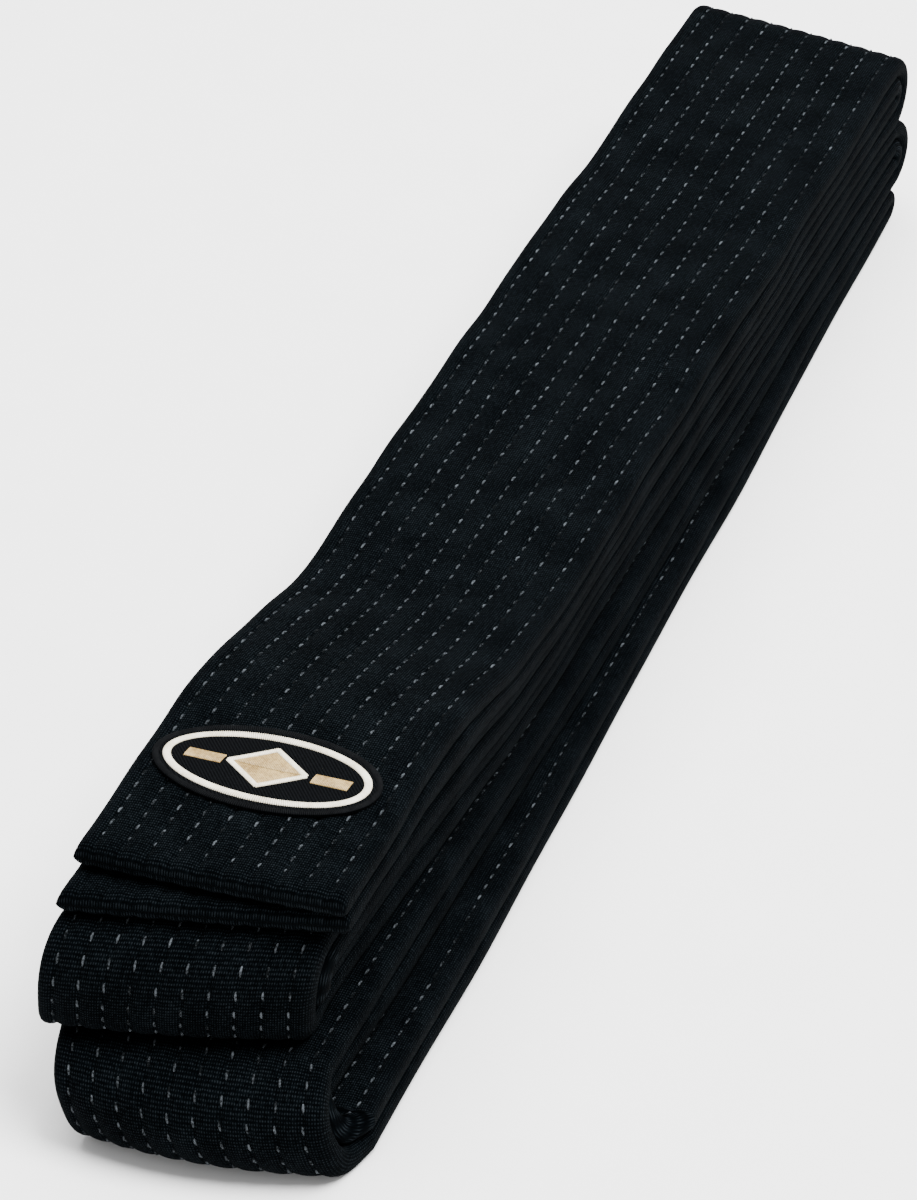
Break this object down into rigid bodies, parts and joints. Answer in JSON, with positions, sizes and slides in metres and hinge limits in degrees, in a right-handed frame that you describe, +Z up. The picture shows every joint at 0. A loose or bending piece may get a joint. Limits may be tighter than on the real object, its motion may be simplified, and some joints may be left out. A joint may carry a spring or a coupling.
{
  "type": "martial arts belt",
  "caption": "Thick quilted martial arts belt, doubled and folded into a bundle of stacked runs, with rows of stitching and an oval embroidered patch near one tip.",
  "frame": {"origin": "centre of the folded belt's footprint on the surface that it lies on", "axes": "+X across the strip, +Y along the runs from the belt's tips to the far folds, +Z up"},
  "size_m": [0.0556, 0.3018, 0.0504],
  "materials": {
    "cover": "matt woven cotton, quilted",
    "core": "matt raw cotton wadding",
    "label_patch": "matt twill",
    "gold_thread": "satin stitched thread",
    "cream_thread": "satin stitched thread"
  },
  "bodies": {
    "run_5": {"run_5_upper_cover": "cover", "run_5_upper_core": "core", "run_5_lower_cover": "cover", "run_5_lower_core": "core", "middle_fold_cover": "cover", "middle_fold_core": "core", "near_lower_fold_outer_cover": "cover", "near_lower_fold_outer_core": "core", "near_lower_fold_inner_cover": "cover", "near_lower_fold_inner_core": "core"},
    "run_4": {"run_4_upper_cover": "cover", "run_4_upper_core": "core", "run_4_lower_cover": "cover", "run_4_lower_core": "core", "far_lower_fold_outer_cover": "cover", "far_lower_fold_outer_core": "core", "far_lower_fold_inner_cover": "cover", "far_lower_fold_inner_core": "core"},
    "run_3": {"run_3_upper_cover": "cover", "run_3_upper_core": "core", "run_3_lower_cover": "cover", "run_3_lower_core": "core", "near_upper_fold_outer_cover": "cover", "near_upper_fold_outer_core": "core", "near_upper_fold_inner_cover": "cover", "near_upper_fold_inner_core": "core"},
    "run_2": {"run_2_upper_cover": "cover", "run_2_upper_core": "core", "run_2_lower_cover": "cover", "run_2_lower_core": "core", "far_top_fold_outer_cover": "cover", "far_top_fold_outer_core": "core", "far_top_fold_inner_cover": "cover", "far_top_fold_inner_core": "core"},
    "run_1": {"run_1_upper_cover": "cover", "run_1_upper_core": "core", "run_1_lower_cover": "cover", "run_1_lower_core": "core", "label_patch": "label_patch", "label_ring": "cream_thread", "label_diamond": "gold_thread", "label_left_bar": "gold_thread", "label_right_bar": "gold_thread"}
  },
  "joints": [
    {"name": "near_lower_hinge", "type": "hinge", "parent": "run_5", "child": "run_4", "pos_m": [-0.0019, -0.1383, 0.0092], "axis": [0.9846, 0.175, 0], "range_deg": [0, 75], "deforming": ["near_lower_fold_outer_cover", "near_lower_fold_outer_core", "near_lower_fold_inner_cover", "near_lower_fold_inner_core"]},
    {"name": "far_lower_hinge", "type": "hinge", "parent": "run_4", "child": "run_3", "pos_m": [-0.0019, 0.1417, 0.0154], "axis": [-1, 0, 0], "range_deg": [0, 110], "deforming": ["far_lower_fold_outer_cover", "far_lower_fold_outer_core", "far_lower_fold_inner_cover", "far_lower_fold_inner_core"]},
    {"name": "near_upper_hinge", "type": "hinge", "parent": "run_3", "child": "run_2", "pos_m": [-0.0019, -0.1299, 0.02908], "axis": [0.9549, 0.2971, 0], "range_deg": [0, 100], "deforming": ["near_upper_fold_outer_cover", "near_upper_fold_outer_core", "near_upper_fold_inner_cover", "near_upper_fold_inner_core"]},
    {"name": "far_top_hinge", "type": "hinge", "parent": "run_2", "child": "run_1", "pos_m": [-0.0019, 0.1417, 0.031], "axis": [-0.9978, 0.0665, 0], "range_deg": [0, 178], "deforming": ["far_top_fold_outer_cover", "far_top_fold_outer_core", "far_top_fold_inner_cover", "far_top_fold_inner_core"]}
  ]
}
